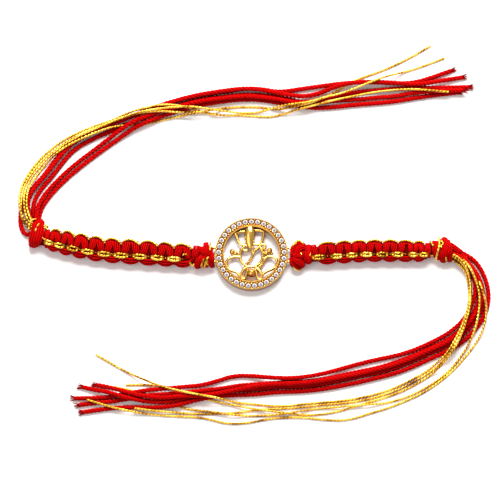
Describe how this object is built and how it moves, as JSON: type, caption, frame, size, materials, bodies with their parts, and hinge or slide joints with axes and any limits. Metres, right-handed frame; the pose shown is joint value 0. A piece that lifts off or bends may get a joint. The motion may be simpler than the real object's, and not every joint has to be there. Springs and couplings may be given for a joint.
{
  "type": "rakhi thread bracelet",
  "caption": "Open rakhi bracelet: round pierced gilt medallion with clear stones, knotted red bands on both sides, and long loose red and gold cord ends.",
  "frame": {"origin": "centre of the medallion's flat back, which lies on the table", "axes": "+X along the bands towards the right band, +Y towards the top of the medallion, +Z out of the medallion's face"},
  "size_m": [0.1294, 0.1066, 0.0047],
  "materials": {
    "gilt_metal": "polished pale gold plate",
    "clear_stone": "clear, faceted",
    "red_cotton": "plied cotton, slightly fuzzy",
    "gold_thread": "metallic wrapped thread"
  },
  "bodies": {
    "root": {"medallion": "gilt_metal", "stone_01": "clear_stone", "stone_02": "clear_stone", "stone_03": "clear_stone", "stone_04": "clear_stone", "stone_05": "clear_stone", "stone_06": "clear_stone", "stone_07": "clear_stone", "stone_08": "clear_stone", "stone_09": "clear_stone", "stone_10": "clear_stone", "stone_11": "clear_stone", "stone_12": "clear_stone", "stone_13": "clear_stone", "stone_14": "clear_stone", "stone_15": "clear_stone", "stone_16": "clear_stone", "stone_17": "clear_stone", "stone_18": "clear_stone", "stone_19": "clear_stone", "stone_20": "clear_stone", "stone_21": "clear_stone", "stone_22": "clear_stone", "stone_23": "clear_stone", "stone_24": "clear_stone", "stone_25": "clear_stone", "stone_26": "clear_stone", "stone_27": "clear_stone", "stone_28": "clear_stone", "stone_29": "clear_stone", "stone_30": "clear_stone", "stone_31": "clear_stone", "stone_32": "clear_stone", "stone_33": "clear_stone", "left_band": "red_cotton", "right_band": "red_cotton", "left_knot": "red_cotton", "right_knot": "red_cotton", "left_yarn_1": "red_cotton", "left_yarn_2": "red_cotton", "left_yarn_3": "red_cotton", "left_yarn_4": "red_cotton", "left_yarn_5": "red_cotton", "right_yarn_1": "red_cotton", "right_yarn_2": "red_cotton", "right_yarn_3": "red_cotton", "right_yarn_4": "red_cotton", "right_yarn_5": "red_cotton", "left_thread_1": "gold_thread", "left_thread_2": "gold_thread", "left_thread_3": "gold_thread", "left_thread_4": "gold_thread", "right_thread_1": "gold_thread", "right_thread_2": "gold_thread", "right_thread_3": "gold_thread", "right_thread_4": "gold_thread", "right_thread_5": "gold_thread"}
  },
  "joints": []
}
